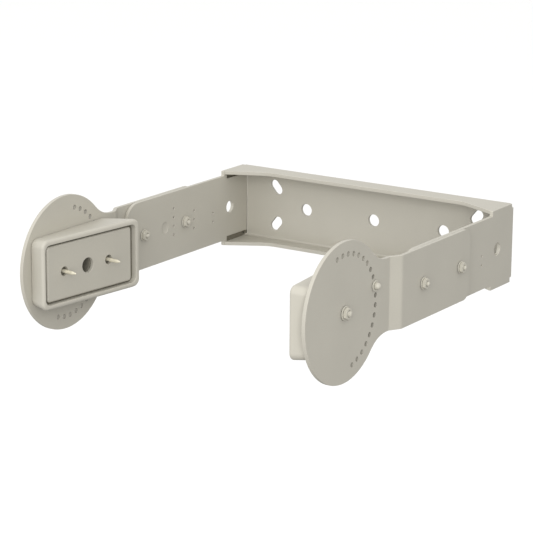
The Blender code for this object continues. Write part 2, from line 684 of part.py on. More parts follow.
for old in list(bpy.data.objects):
    bpy.data.objects.remove(old)
parts = bpy.data.collections.new("yoke_bracket")
cutters = bpy.data.collections.new("cutters")
for group in (parts, cutters):
    bpy.context.scene.collection.children.link(group)

yoke_channel()
arm_fasteners()
for hand, label in ((-1, "left"), (1, "right")):
    arm(label + "_arm", hand)
    pivot_fasteners(hand, label)
    index_fasteners(hand, label)
    adapter(hand, label, pitch_axis(hand, label))

for thing in parts.objects:
    if thing.type == "MESH":
        smooth(thing.data)
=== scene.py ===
"""Finished surfaces for the wall yoke bracket: coated sheet, cast adapters, fasteners, pins and a studio.

The frame holds the bracket's solids in metres, with the wall at y = 0 and the arms reaching along -Y. Each
operator takes the places and sizes of its pieces from the frame's nodes and stands in for those nodes.
"""

import json
import math

import bmesh
import bpy
from mathutils import Matrix, Vector


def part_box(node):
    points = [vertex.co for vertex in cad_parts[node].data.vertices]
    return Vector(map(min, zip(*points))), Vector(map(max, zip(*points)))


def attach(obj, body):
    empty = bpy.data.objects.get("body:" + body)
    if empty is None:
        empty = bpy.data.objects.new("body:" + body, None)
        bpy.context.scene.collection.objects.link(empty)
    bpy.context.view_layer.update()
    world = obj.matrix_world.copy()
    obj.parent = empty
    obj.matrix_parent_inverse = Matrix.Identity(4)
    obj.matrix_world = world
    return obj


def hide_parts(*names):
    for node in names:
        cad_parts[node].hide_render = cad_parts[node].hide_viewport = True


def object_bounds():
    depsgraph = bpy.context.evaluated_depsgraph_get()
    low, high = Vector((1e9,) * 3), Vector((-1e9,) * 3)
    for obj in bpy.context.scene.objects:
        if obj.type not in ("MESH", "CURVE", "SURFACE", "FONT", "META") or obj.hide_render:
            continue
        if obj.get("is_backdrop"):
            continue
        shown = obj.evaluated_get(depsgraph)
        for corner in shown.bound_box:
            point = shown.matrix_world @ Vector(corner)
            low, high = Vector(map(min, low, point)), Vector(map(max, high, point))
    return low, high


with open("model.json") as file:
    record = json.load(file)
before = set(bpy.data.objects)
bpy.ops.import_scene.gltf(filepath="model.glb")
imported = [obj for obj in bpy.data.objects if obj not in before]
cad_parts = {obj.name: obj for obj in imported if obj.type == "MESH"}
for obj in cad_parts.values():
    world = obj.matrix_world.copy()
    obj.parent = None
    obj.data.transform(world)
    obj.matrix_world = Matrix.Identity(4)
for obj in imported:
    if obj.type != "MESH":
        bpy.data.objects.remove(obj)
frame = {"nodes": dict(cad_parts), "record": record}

bl_info = {
    "name": "Yoke bracket finish",
    "version": (1, 0, 0),
    "blender": (4, 5, 0),
    "location": "3D View > Sidebar > Yoke",
    "description": "Coated sheet, cast adapters, fasteners and pins for a wall yoke bracket",
    "category": "Object",
}

MM = 0.001
WELD = 1e-6                 # vertices closer than this are one
FLAT = math.radians(0.4)    # faces closer in angle than this are one flat face
CREASE = math.radians(50)   # faces that meet more sharply than this are shaded as two
SIDES = {"left": -1, "right": 1}
GAP = 0.3 * MM              # play that the solids keep where they touch
SPIN_STEPS = 48             # sides of a small round piece
SHEET_CORNER = math.radians(28)     # how sharply two faces meet at an edge that is rounded: on sheet,
CAST_CORNER = math.radians(40)      # on castings and plates,
STAMPED_CORNER = math.radians(60)   # and on washers


def linear(code):
    """A colour given as an sRGB hex value, in linear light."""
    levels = [int(code[i:i + 2], 16) / 255 for i in (1, 3, 5)]
    return tuple(v / 12.92 if v <= 0.04045 else ((v + 0.055) / 1.055) ** 2.4 for v in levels)


# ---------------------------------------------------------------- settings

class YokeFinishSettings(bpy.types.PropertyGroup):
    """Colours of the coats and the metal."""

    sheet_colour: bpy.props.FloatVectorProperty(
        name="Sheet coat", description="Powder coat on the channel and the arms", subtype="COLOR",
        size=3, min=0.0, max=1.0, default=linear("#B8B4A8"))
    cast_colour: bpy.props.FloatVectorProperty(
        name="Cast coat", description="Powder coat on the adapter housings", subtype="COLOR",
        size=3, min=0.0, max=1.0, default=linear("#BAB6AA"))
    plate_colour: bpy.props.FloatVectorProperty(
        name="Plate coat", description="Powder coat on the adapter plates", subtype="COLOR",
        size=3, min=0.0, max=1.0, default=linear("#B4B0A4"))
    fastener_colour: bpy.props.FloatVectorProperty(
        name="Fastener coat", description="Coat on the bolts, nuts and washers", subtype="COLOR",
        size=3, min=0.0, max=1.0, default=linear("#C0BCAF"))
    pin_colour: bpy.props.FloatVectorProperty(
        name="Pin plating", description="Yellow passivated zinc on the locating pins", subtype="COLOR",
        size=3, min=0.0, max=1.0, default=linear("#E6E0CB"))
    fibre_colour: bpy.props.FloatVectorProperty(
        name="Friction fibre", description="Pressed fibre of the friction washers", subtype="COLOR",
        size=3, min=0.0, max=1.0, default=linear("#4A4036"))
    peel: bpy.props.FloatProperty(
        name="Orange peel", description="Spacing of the waves in the powder coat", unit="LENGTH",
        min=0.0005, max=0.01, default=2.6 * MM)


class YokeSizeSettings(bpy.types.PropertyGroup):
    """Small radii and fastener sizes that the solids leave out."""

    sheet_edge: bpy.props.FloatProperty(
        name="Sheet edge", description="Rounding of the sheet's cut edges under the coat", unit="LENGTH",
        min=0.0001, max=0.001, default=0.4 * MM)
    cast_edge: bpy.props.FloatProperty(
        name="Cast edge", description="Rounding of the casting's inner edges", unit="LENGTH",
        min=0.0001, max=0.0015, default=0.7 * MM)
    plate_edge: bpy.props.FloatProperty(
        name="Plate edge", description="Rounding of the adapter plate's edges and holes", unit="LENGTH",
        min=0.0001, max=0.001, default=0.4 * MM)
    plate_pillow: bpy.props.FloatProperty(
        name="Plate pillow", description="Soft fall of the adapter plate's face to its rim", unit="LENGTH",
        min=0.0005, max=0.003, default=2.2 * MM)
    arm_thread: bpy.props.FloatProperty(
        name="Arm thread", description="Thread diameter of the arm bolts", unit="LENGTH",
        min=0.003, max=0.006, default=5.0 * MM)
    arm_head: bpy.props.FloatProperty(
        name="Arm bolt head", description="Height of an arm bolt's head", unit="LENGTH",
        min=0.002, max=0.005, default=3.5 * MM)
    pivot_thread: bpy.props.FloatProperty(
        name="Pivot thread", description="Thread diameter of the pivot bolts", unit="LENGTH",
        min=0.004, max=0.007, default=6.0 * MM)
    pivot_head: bpy.props.FloatProperty(
        name="Pivot bolt head", description="Height of a pivot bolt's head", unit="LENGTH",
        min=0.002, max=0.006, default=4.0 * MM)
    index_thread: bpy.props.FloatProperty(
        name="Index thread", description="Thread diameter of the index screws", unit="LENGTH",
        min=0.003, max=0.005, default=4.0 * MM)
    pin: bpy.props.FloatProperty(
        name="Pin", description="Diameter of a locating pin", unit="LENGTH",
        min=0.002, max=0.0039, default=3.8 * MM)


class YokeStageSettings(bpy.types.PropertyGroup):
    """Floor, lights and camera."""

    floor_colour: bpy.props.FloatVectorProperty(
        name="Floor", description="Matt pale floor", subtype="COLOR",
        size=3, min=0.0, max=1.0, default=linear("#F6F6F5"))
    floor_drop: bpy.props.FloatProperty(
        name="Floor drop", description="How far the floor lies below the bracket", unit="LENGTH",
        min=0.0, max=2.0, default=0.30)
    tent_level: bpy.props.FloatProperty(
        name="Tent level", description="Mean brightness of the light tent", min=0.0, max=3.0, default=0.77)
    tent_slope: bpy.props.FloatProperty(
        name="Tent slope", description="How much brighter the tent is on its bright side than on average",
        min=0.0, max=3.0, default=0.52)
    top_light: bpy.props.FloatProperty(
        name="Top light", description="Power of the softbox overhead, to the left", unit="POWER",
        min=0.0, max=1000.0, default=3.0)
    front_light: bpy.props.FloatProperty(
        name="Front light", description="Power of the softbox in front, well to the right", unit="POWER",
        min=0.0, max=1000.0, default=38.0)
    azimuth: bpy.props.FloatProperty(
        name="Azimuth", description="Camera's turn about Z, from looking along +Y", subtype="ANGLE",
        default=math.radians(33.36))
    elevation: bpy.props.FloatProperty(
        name="Elevation", description="Camera's height above the horizon", subtype="ANGLE",
        default=math.radians(14.74))
    roll: bpy.props.FloatProperty(
        name="Roll", description="Camera's turn about its own axis", subtype="ANGLE",
        default=math.radians(0.38))
    distance: bpy.props.FloatProperty(
        name="Distance", description="Camera to the middle of the bracket", unit="LENGTH",
        min=0.5, max=10.0, default=2.397)
    lens: bpy.props.FloatProperty(
        name="Lens", description="Focal length on a 36 mm sensor", unit="CAMERA", default=154.2)


# ---------------------------------------------------------------- shapes

def arc(centre, radius, start, end, steps):
    """Points along an arc, between two angles in degrees."""
    turns = [math.radians(start + (end - start) * i / steps) for i in range(steps + 1)]
    return [(centre[0] + radius * math.cos(t), centre[1] + radius * math.sin(t)) for t in turns]


def tidy(shape):
    """Merge doubles and turn the faces outwards."""
    bmesh.ops.remove_doubles(shape, verts=shape.verts, dist=WELD)
    bmesh.ops.recalc_face_normals(shape, faces=shape.faces)
    return shape


def copied(node):
    """A merged copy of a node's mesh, with its triangles joined into flat faces."""
    shape = bmesh.new()
    shape.from_mesh(frame["nodes"][node].data)
    tidy(shape)
    bmesh.ops.dissolve_limit(shape, angle_limit=FLAT, use_dissolve_boundaries=False,
                             verts=shape.verts, edges=shape.edges, delimit=set())
    return shape


def soften(shape, radius, segments=2, angle=SHEET_CORNER, spare=None):
    """Round every edge whose faces meet more sharply than the angle, but none that is to be spared."""
    sharp = [edge for edge in shape.edges if edge.is_manifold and edge.calc_face_angle(0) > angle]
    if spare:
        sharp = [edge for edge in sharp if not spare(edge)]
    bmesh.ops.bevel(shape, geom=sharp, offset=radius, offset_type="OFFSET", segments=segments, profile=0.5,
                    affect="EDGES", clamp_overlap=False, loop_slide=False, material=-1)
    return shape


def spun(profile, ring=False):
    """A solid from a profile of (radius, height) spun about Z; a ring's profile closes on itself."""
    shape = bmesh.new()
    verts = [shape.verts.new((radius, 0, height)) for radius, height in profile]
    ahead = verts[1:] + verts[:1] if ring else verts[1:]
    edges = [shape.edges.new(pair) for pair in zip(verts, ahead)]
    bmesh.ops.spin(shape, geom=verts + edges, cent=(0, 0, 0), axis=(0, 0, 1), dvec=(0, 0, 0),
                   angle=2 * math.pi, steps=SPIN_STEPS, use_merge=True, use_duplicate=False)
    return tidy(shape)


def cut_flats(shape, flats):
    """Cut six flats on a spun solid, with corners that point along X."""
    for i in range(6):
        turn = math.radians(30 + 60 * i)
        away = Vector((math.cos(turn), math.sin(turn), 0))
        everything = shape.verts[:] + shape.edges[:] + shape.faces[:]
        bmesh.ops.bisect_plane(shape, geom=everything, dist=WELD, plane_co=away * flats / 2, plane_no=away,
                               clear_outer=True)
        rim = [edge for edge in shape.edges if edge.is_boundary]
        bmesh.ops.holes_fill(shape, edges=rim)
    return tidy(shape)


THREAD_DEPTH = 0.55         # of a thread's pitch
THREAD_CREST = (0.4, 0.6)   # where a thread's crest starts and ends, likewise


def thread(radius, start, end, pitch):
    """Profile of a thread drawn as rings, from one height up to another."""
    count = max(1, int((end - start) / pitch))
    root = radius - THREAD_DEPTH * pitch
    points = []
    for i in range(count):
        base = start + pitch * i
        points += [(root, base), *((radius, base + share * pitch) for share in THREAD_CREST)]
    points.append((root, start + pitch * count))
    return points


# ---------------------------------------------------------------- pieces

def body_of(node):
    """The body that a node moves with."""
    bodies = frame["record"]["behaviour"]["bodies"]
    return next(body for body, members in bodies.items() if node in members)


def finished(shape, node, materials):
    """Make a piece of a shape, in place of a node and on the same body."""
    mesh = bpy.data.meshes.new(node + "_finished")
    shape.to_mesh(mesh)
    shape.free()
    mesh.shade_smooth()
    mesh.set_sharp_from_angle(angle=CREASE)
    for material in materials:
        mesh.materials.append(material)
    piece = bpy.data.objects.new(node + "_finished", mesh)
    bpy.context.scene.collection.objects.link(piece)
    weighted = piece.modifiers.new("flat_faces_stay_flat", "WEIGHTED_NORMAL")
    weighted.mode = "FACE_AREA"
    weighted.weight = 100
    weighted.keep_sharp = True
    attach(piece, body_of(node))
    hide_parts(node)


def lay_along_x(shape, node, direction):
    """Turn a shape made up Z to run along X from the near end of a node's box."""
    low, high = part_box(node)
    near = low.x if direction > 0 else high.x
    place = Matrix.Translation((near, (low.y + high.y) / 2, (low.z + high.z) / 2))
    bmesh.ops.transform(shape, matrix=place @ Matrix.Rotation(direction * math.pi / 2, 4, "Y"),
                        verts=shape.verts)
    return shape


def extent(node):
    """Size of a node's box."""
    low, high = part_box(node)
    return high - low


def pitch_axis(word):
    """A point on the axis that one side's adapter turns about: the middle of its pivot bolt."""
    low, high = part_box(word + "_pivot_bolt")
    return (low + high) / 2


def face_mount(word):
    """A point on an adapter's face and the way that the face looks."""
    mount = next(m for m in frame["record"]["mounts"] if m["name"] == word + "_adapter_face")
    return Vector(mount["pos_m"]), Vector(mount["axis"]).normalized()


# ---------------------------------------------------------------- materials

def add_node(tree, kind, inputs=None, **settings):
    """Add a node with its settings, and feed each named input from a socket or a value."""
    made = tree.nodes.new(kind)
    for name, value in settings.items():
        setattr(made, name, value)
    for key, value in (inputs or {}).items():
        if isinstance(value, bpy.types.NodeSocket):
            tree.links.new(value, made.inputs[key])
        else:
            made.inputs[key].default_value = value
    return made


MIX_A, MIX_B, MIX_OUT = 6, 7, 2     # colour sockets of a Mix node


def new_material(name, colour):
    """A node material; returns it with its node tree, its Principled shader and the object coordinates."""
    material = bpy.data.materials.new(name)
    material.use_nodes = True
    material.diffuse_color = (*colour, 1.0)
    tree = material.node_tree
    coordinates = add_node(tree, "ShaderNodeTexCoord").outputs["Object"]
    return material, tree, tree.nodes["Principled BSDF"], coordinates


def shade(colour, factor):
    """A colour made lighter or darker, as a socket value."""
    return (*(min(1.0, channel * factor) for channel in colour), 1.0)


POWDER_GRAIN = 0.7 * MM     # grains 0.1 mm wide would not show, so they are drawn this wide
COAT_DRIFT = 45 * MM        # over this length the coat's thickness, and with it the colour, drifts
COAT_EDGE = 1.1 * MM        # how near a sharp edge the coat is thinner
CORNER_SHADE_REACH = 14 * MM        # how far out of an inner corner the painted shade reaches
CORNER_SHADE = 0.10                 # share of painted shade where a corner is deepest, standing in for the shade that falls there
SPECKLE = 0.10              # share of the darkest grains


def powder_coat(name, colour, peel, roughness, wear):
    """Polyester powder coat, sprayed and baked: satin, with slow waves and a coat that thins on edges."""
    material, tree, shader, place = new_material(name, colour)
    # waves where the melted powder levelled; real ones are 1 to 2 mm long, drawn a little coarser
    waves = add_node(tree, "ShaderNodeTexNoise", {"Vector": place, "Scale": 1 / peel, "Detail": 2.0,
                                                  "Roughness": 0.45})
    grain = add_node(tree, "ShaderNodeTexNoise", {"Vector": place, "Scale": 1 / POWDER_GRAIN, "Detail": 3.0,
                                                  "Roughness": 0.6})
    drift = add_node(tree, "ShaderNodeTexNoise", {"Vector": place, "Scale": 1 / COAT_DRIFT, "Detail": 2.0,
                                                  "Roughness": 0.5})
    drifting = add_node(tree, "ShaderNodeMix", {0: drift.outputs["Fac"], MIX_A: shade(colour, 0.955),
                                                MIX_B: shade(colour, 1.045)}, data_type="RGBA")
    speckle = add_node(tree, "ShaderNodeMapRange", {"Value": grain.outputs["Fac"], "From Min": 0.35,
                                                    "From Max": 0.75, "To Min": 0.0, "To Max": SPECKLE})
    speckled = add_node(tree, "ShaderNodeMix", {0: speckle.outputs["Result"],
                                                MIX_A: drifting.outputs[MIX_OUT],
                                                MIX_B: shade(colour, 0.72)}, data_type="RGBA")
    # the coat pulls back from sharp edges, which look paler
    edge = add_node(tree, "ShaderNodeAmbientOcclusion", {"Distance": COAT_EDGE}, inside=True, only_local=True,
                    samples=6)
    thin = add_node(tree, "ShaderNodeMapRange", {"Value": edge.outputs["AO"], "From Min": 0.75,
                                                 "From Max": 0.35, "To Min": 0.0, "To Max": wear})
    edged = add_node(tree, "ShaderNodeMix", {0: thin.outputs["Result"], MIX_A: speckled.outputs[MIX_OUT],
                                             MIX_B: shade(colour, 1.22)}, data_type="RGBA")
    # painted shade: inner corners are darkened, standing in for the shade that falls there
    corner = add_node(tree, "ShaderNodeAmbientOcclusion", {"Distance": CORNER_SHADE_REACH}, samples=6)
    corner_shading = add_node(tree, "ShaderNodeMapRange", {"Value": corner.outputs["AO"], "From Min": 0.75,
                                                 "From Max": 0.15, "To Min": 0.0, "To Max": CORNER_SHADE})
    corner_shaded = add_node(tree, "ShaderNodeMix", {0: corner_shading.outputs["Result"], MIX_A: edged.outputs[MIX_OUT],
                                             MIX_B: shade(colour, 0.80)}, data_type="RGBA")
    tree.links.new(corner_shaded.outputs[MIX_OUT], shader.inputs["Base Color"])
    matt = add_node(tree, "ShaderNodeMapRange", {"Value": grain.outputs["Fac"], "From Min": 0.2,
                                                 "From Max": 0.8, "To Min": roughness - 0.05,
                                                 "To Max": roughness + 0.09})
    tree.links.new(matt.outputs["Result"], shader.inputs["Roughness"])
    fine = add_node(tree, "ShaderNodeBump", {"Strength": 0.5, "Distance": 0.02 * MM,
                                             "Height": grain.outputs["Fac"]})
    bump = add_node(tree, "ShaderNodeBump", {"Strength": 0.8, "Distance": 0.06 * MM,
                                             "Height": waves.outputs["Fac"],
                                             "Normal": fine.outputs["Normal"]})
    tree.links.new(bump.outputs["Normal"], shader.inputs["Normal"])
    shader.inputs["IOR"].default_value = 1.5
    return material


def sheet_coat():
    """Powder coat on folded steel: even and satin, with the longest waves."""
    finish = bpy.context.scene.yoke_finish
    return powder_coat("powder_coated_steel", finish.sheet_colour, finish.peel, 0.44, 0.55)


def cast_coat():
    """Powder coat on die-cast aluminium: thicker and softer, so the waves are longer."""
    finish = bpy.context.scene.yoke_finish
    return powder_coat("powder_coated_casting", finish.cast_colour, finish.peel * 1.3, 0.47, 0.4)


def plate_coat():
    """Powder coat on the flat plate, with short waves and a little less sheen."""
    finish = bpy.context.scene.yoke_finish
    return powder_coat("powder_coated_plate", finish.plate_colour, finish.peel * 0.8, 0.5, 0.5)


def fastener_coat():
    """Thin paint over zinc on bolts, nuts and washers: paler, with corners rubbed by the spanner."""
    finish = bpy.context.scene.yoke_finish
    return powder_coat("painted_zinc_fastener", finish.fastener_colour, finish.peel * 0.5, 0.36, 0.3)


HOLE_WALL_SHADE = 0.74           # how bright the painted shade on a hole's walls is, beside the coat on the sheet


def hole_wall_shade():
    """Painted shade on the walls of a small drilled hole: the sheet's coat made darker to stand in for the
    shade there, and matt.
    """
    finish = bpy.context.scene.yoke_finish
    # painted shade: the sheet's colour darkened to stand in for the shade on a hole's walls
    thin = shade(finish.sheet_colour, HOLE_WALL_SHADE)[:3]
    return powder_coat("painted_shade_in_holes", thin, finish.peel, 0.6, 0.0)


def painted_shade_metal(name, colour):
    """Painted shade: a dark, dull and blotchy metal put where shade falls, in reliefs, under washers and in
    recesses.
    """
    material, tree, shader, place = new_material(name, colour)
    # blotches 3 mm across break up the painted shade
    scale = add_node(tree, "ShaderNodeTexNoise", {"Vector": place, "Scale": 1 / (3 * MM), "Detail": 5.0,
                                                  "Roughness": 0.65})
    blotchy = add_node(tree, "ShaderNodeMix", {0: scale.outputs["Fac"], MIX_A: shade(colour, 0.6),
                                               MIX_B: shade(colour, 1.25)}, data_type="RGBA")
    tree.links.new(blotchy.outputs[MIX_OUT], shader.inputs["Base Color"])
    dull = add_node(tree, "ShaderNodeMapRange", {"Value": scale.outputs["Fac"], "To Min": 0.6,
                                                 "To Max": 0.85})
    tree.links.new(dull.outputs["Result"], shader.inputs["Roughness"])
    bump = add_node(tree, "ShaderNodeBump", {"Strength": 0.5, "Distance": 0.03 * MM,
                                             "Height": scale.outputs["Fac"]})
    tree.links.new(bump.outputs["Normal"], shader.inputs["Normal"])
    shader.inputs["Metallic"].default_value = 0.3
    return material


def relief_shade():
    """Painted shade in the narrow reliefs: a dark metal that stands in for the shade deep in the slots."""
    return painted_shade_metal("painted_shade_in_reliefs", linear("#8C8778"))


def washer_shadow():
    """Painted shadow under the washers' rims: a dark dull metal where the washer meets the work."""
    return painted_shade_metal("painted_shadow_under_washers", linear("#56534A"))


def painted_shade_in_recesses():
    """Painted shade under the plate and in the bolt's pocket: a dark metal that stands in for the shade in
    those recesses.
    """
    return painted_shade_metal("painted_shade_in_recesses", linear("#7A766A"))


def passivated_zinc():
    """Zinc plating with a yellow chromate: soft metallic gleam that drifts from straw to pale cream."""
    colour = bpy.context.scene.yoke_finish.pin_colour
    material, tree, shader, place = new_material("yellow_passivated_zinc", colour)
    # the chromate film changes colour over 4 mm
    film = add_node(tree, "ShaderNodeTexNoise", {"Vector": place, "Scale": 1 / (4 * MM), "Detail": 3.0,
                                                 "Roughness": 0.5})
    straw = add_node(tree, "ShaderNodeMix", {0: film.outputs["Fac"], MIX_A: shade(colour, 0.86),
                                             MIX_B: shade(colour, 1.12)}, data_type="RGBA")
    edge = add_node(tree, "ShaderNodeAmbientOcclusion", {"Distance": 0.5 * MM}, inside=True, only_local=True,
                    samples=6)
    rubbed = add_node(tree, "ShaderNodeMapRange", {"Value": edge.outputs["AO"], "From Min": 0.6,
                                                   "From Max": 0.2, "To Min": 0.0, "To Max": 0.5})
    worn = add_node(tree, "ShaderNodeMix", {0: rubbed.outputs["Result"], MIX_A: straw.outputs[MIX_OUT],
                                            MIX_B: (*linear("#D4D4D0"), 1.0)}, data_type="RGBA")
    tree.links.new(worn.outputs[MIX_OUT], shader.inputs["Base Color"])
    # fine grain of the plating, 0.4 mm wide
    grain = add_node(tree, "ShaderNodeTexNoise", {"Vector": place, "Scale": 1 / (0.4 * MM), "Detail": 2.0})
    gleam = add_node(tree, "ShaderNodeMapRange", {"Value": grain.outputs["Fac"], "To Min": 0.28,
                                                  "To Max": 0.46})
    tree.links.new(gleam.outputs["Result"], shader.inputs["Roughness"])
    bump = add_node(tree, "ShaderNodeBump", {"Strength": 0.3, "Distance": 0.01 * MM,
                                             "Height": grain.outputs["Fac"]})
    tree.links.new(bump.outputs["Normal"], shader.inputs["Normal"])
    shader.inputs["Metallic"].default_value = 0.35
    return material


def pressed_fibre():
    """Vulcanised fibre, pressed from layers: dark brown, matt, with short pale strands."""
    colour = bpy.context.scene.yoke_finish.fibre_colour
    material, tree, shader, place = new_material("vulcanised_fibre", colour)
    # strands lie in the washer's plane, 3 mm long, 0.6 mm wide and 0.3 mm thick
    lying = add_node(tree, "ShaderNodeMapping", {"Vector": place, "Scale": (1 / (0.3 * MM), 1 / (3 * MM),
                                                                          1 / (0.6 * MM))})
    strands = add_node(tree, "ShaderNodeTexNoise", {"Vector": lying.outputs["Vector"], "Scale": 1.0,
                                                    "Detail": 3.0, "Roughness": 0.6})
    flecked = add_node(tree, "ShaderNodeMix", {0: strands.outputs["Fac"], MIX_A: shade(colour, 0.6),
                                               MIX_B: shade(colour, 1.8)}, data_type="RGBA")
    tree.links.new(flecked.outputs[MIX_OUT], shader.inputs["Base Color"])
    matt = add_node(tree, "ShaderNodeMapRange", {"Value": strands.outputs["Fac"], "To Min": 0.75,
                                                 "To Max": 0.95})
    tree.links.new(matt.outputs["Result"], shader.inputs["Roughness"])
    bump = add_node(tree, "ShaderNodeBump", {"Strength": 0.6, "Distance": 0.05 * MM,
                                             "Height": strands.outputs["Fac"]})
    tree.links.new(bump.outputs["Normal"], shader.inputs["Normal"])
    return material


def material_named(name, make):
    """The material of that name, made the first time it is asked for."""
    return bpy.data.materials.get(name) or make()


# ---------------------------------------------------------------- channel and arms

# bounds in millimetres of a relief between an ear and a flange: in from the ear's outer face, back along Y
# from the wall, and above or below the middle; the second box is where it turns the corner to the web
RELIEFS = (
    ((0.1, 3.9), (8.5, 46.0), (34.0, 40.1)),
    ((0.1, 7.2), (4.5, 9.5), (34.2, 38.2)),
)
INDEX_BAND = (54.0 * MM, 62.0 * MM)     # distances from the pitch axis that the index holes lie between
HOLE_WALL = 0.3                         # a disc's face that looks less than this along X is a hole's wall


def in_relief(point, ear_outside):
    """Whether a point lies inside one of the four reliefs cut between the ears and the flanges."""
    place = [(ear_outside - abs(point.x)) / MM, -point.y / MM, abs(point.z) / MM]
    return any(all(low < value < high for value, (low, high) in zip(place, bounds)) for bounds in RELIEFS)


def in_index_band(point, axis):
    """Whether a point is as far from the pitch axis as the index holes are."""
    aside = point - axis
    return INDEX_BAND[0] < math.hypot(aside.y, aside.z) < INDEX_BAND[1]


class YOKE_OT_channel(bpy.types.Operator):
    """Make the folded wall channel, with rounded cut edges and painted shade in its corner reliefs"""

    bl_idname = "yoke.channel"
    bl_label = "Channel"

    def execute(self, context):
        ear_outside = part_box("yoke_channel")[1].x
        shape = copied("yoke_channel")
        soften(shape, context.scene.yoke_sizes.sheet_edge)
        for face in shape.faces:
            if in_relief(face.calc_center_median(), ear_outside):
                # painted shade: faces in the reliefs take the dark second material
                face.material_index = 1
        finished(shape, "yoke_channel", [material_named("powder_coated_steel", sheet_coat),
                                         material_named("painted_shade_in_reliefs", relief_shade)])
        return {"FINISHED"}


class YOKE_OT_arms(bpy.types.Operator):
    """Make both arms with their pitch discs, with rounded cut edges, index holes drilled sharp and painted
    shade on the holes' walls
    """

    bl_idname = "yoke.arms"
    bl_label = "Arms"

    def execute(self, context):
        for word in SIDES:
            axis = pitch_axis(word)
            shape = soften(copied(word + "_arm"), context.scene.yoke_sizes.sheet_edge,
                           spare=lambda edge: in_index_band(edge.verts[0].co, axis))
            shape.normal_update()
            for face in shape.faces:
                if abs(face.normal.x) < HOLE_WALL and in_index_band(face.calc_center_median(), axis):
                    # painted shade: the walls of the index holes take the darker second material
                    face.material_index = 1
            finished(shape, word + "_arm", [material_named("powder_coated_steel", sheet_coat),
                                            material_named("painted_shade_in_holes", hole_wall_shade)])
        return {"FINISHED"}


# ---------------------------------------------------------------- fasteners

NUT_CHAMFER = math.radians(30)      # how steeply a hexagon's corners are turned down
CHAMFER_BITE = 0.1 * MM             # how far the turning cuts past the corners, into the flats
COUNTERSINK = 0.35 * MM             # at both ends of a nut's bore
PITCH = {"arm": 0.8 * MM, "pivot": 1.0 * MM}    # coarse thread pitches of M5 and M6
THREADED = 9.0 * MM                 # length from a bolt's end that holds its thread
NOSE = 1.6 * MM                     # length of the rounded end past the thread
WASHER_EDGE = 0.3 * MM              # rounding of a steel washer's rims
WASHER_UNDERCUT = 0.7 * MM          # how far its rim is turned in towards the work
UNDERCUT_RISE = 0.45                # height that the turned-in rim takes, of the washer's thickness
UNDERSIDE = -0.25                   # a washer's face that looks less than this upwards is its underside


def hexagon_profile(flats, height, inner):
    """Half section of a hexagon before its flats are cut, with its corners turned down at both ends."""
    corner = flats / 2 / math.cos(math.radians(30))
    fall = (corner - flats / 2) * math.tan(NUT_CHAMFER) + CHAMFER_BITE
    run = fall / math.tan(NUT_CHAMFER)
    return [(inner, height), (corner - run, height), (corner, height - fall), (corner, fall),
            (corner - run, 0), (inner, 0)]


def nut_shape(node, bore):
    """A hexagon nut with a countersunk bore, to the size of its node."""
    size = extent(node)
    outside = hexagon_profile(size.y, size.x, bore / 2 + COUNTERSINK)
    inside = [(bore / 2, COUNTERSINK), (bore / 2, size.x - COUNTERSINK)]
    return cut_flats(spun(outside + inside, ring=True), size.y)


def bolt_shape(node, across, head, thread_size, pitch):
    """A hexagon bolt from its head's face up to its end, with a thread along the last part of the shank."""
    length = extent(node).x
    radius = thread_size / 2
    corners = hexagon_profile(across, head, 0.0)[1:-1]
    points = [(0, 0), *reversed(corners), (radius, head)]
    points += thread(radius, length - THREADED, length - NOSE, pitch)
    points += [(radius * out, length - NOSE + NOSE * along) for out, along in arc((0, 0), 1, 15, 90, 5)]
    return cut_flats(spun(points), across)


def washer_shape(node, bore, edge, undercut=0.0):
    """A flat washer with rounded rims, or with painted shadow on its underside and its rim turned in there.
    """
    size = extent(node)
    thick, outside = size.x, size.z / 2
    profile = [(bore / 2, 0), (outside - undercut, 0), (outside, thick * UNDERCUT_RISE), (outside, thick),
               (bore / 2, thick)]
    shape = soften(spun(profile, ring=True), min(edge, thick / 4), segments=3, angle=STAMPED_CORNER)
    if undercut:
        shape.normal_update()
        for face in shape.faces:
            if face.normal.z < UNDERSIDE:
                # painted shadow: faces on the underside take the dark second material
                face.material_index = 1
    return shape


def make_washer(node, direction, thread_size):
    """Make a steel washer: painted, with painted shadow on its underside."""
    ring = washer_shape(node, thread_size + 2 * GAP, WASHER_EDGE, WASHER_UNDERCUT)
    finished(lay_along_x(ring, node, direction), node,
             [material_named("painted_zinc_fastener", fastener_coat),
              material_named("painted_shadow_under_washers", washer_shadow)])


def make_stack(node, direction, thread_size, head, pitch):
    """Make the bolt, washer and nut whose nodes share a name."""
    coat = [material_named("painted_zinc_fastener", fastener_coat)]
    across = extent(node + "_nut").y
    bolt = bolt_shape(node + "_bolt", across, head, thread_size, pitch)
    finished(lay_along_x(bolt, node + "_bolt", direction), node + "_bolt", coat)
    make_washer(node + "_washer", direction, thread_size)
    hexagon = nut_shape(node + "_nut", thread_size + 2 * GAP)
    finished(lay_along_x(hexagon, node + "_nut", direction), node + "_nut", coat)


class YOKE_OT_arm_fasteners(bpy.types.Operator):
    """Make the four bolts that hold the arms on the ears, with their washers and nuts"""

    bl_idname = "yoke.arm_fasteners"
    bl_label = "Arm fasteners"

    def execute(self, context):
        sizes = context.scene.yoke_sizes
        for word in SIDES:
            for end in ("rear", "front"):
                # every arm bolt points along +X
                make_stack(word + "_arm_" + end, 1, sizes.arm_thread, sizes.arm_head, PITCH["arm"])
        return {"FINISHED"}


class YOKE_OT_pivot_fasteners(bpy.types.Operator):
    """Make the two bolts that the adapters turn on, with their washers and nuts"""

    bl_idname = "yoke.pivot_fasteners"
    bl_label = "Pivot fasteners"

    def execute(self, context):
        sizes = context.scene.yoke_sizes
        for word, side in SIDES.items():
            make_stack(word + "_pivot", side, sizes.pivot_thread, sizes.pivot_head, PITCH["pivot"])
        return {"FINISHED"}


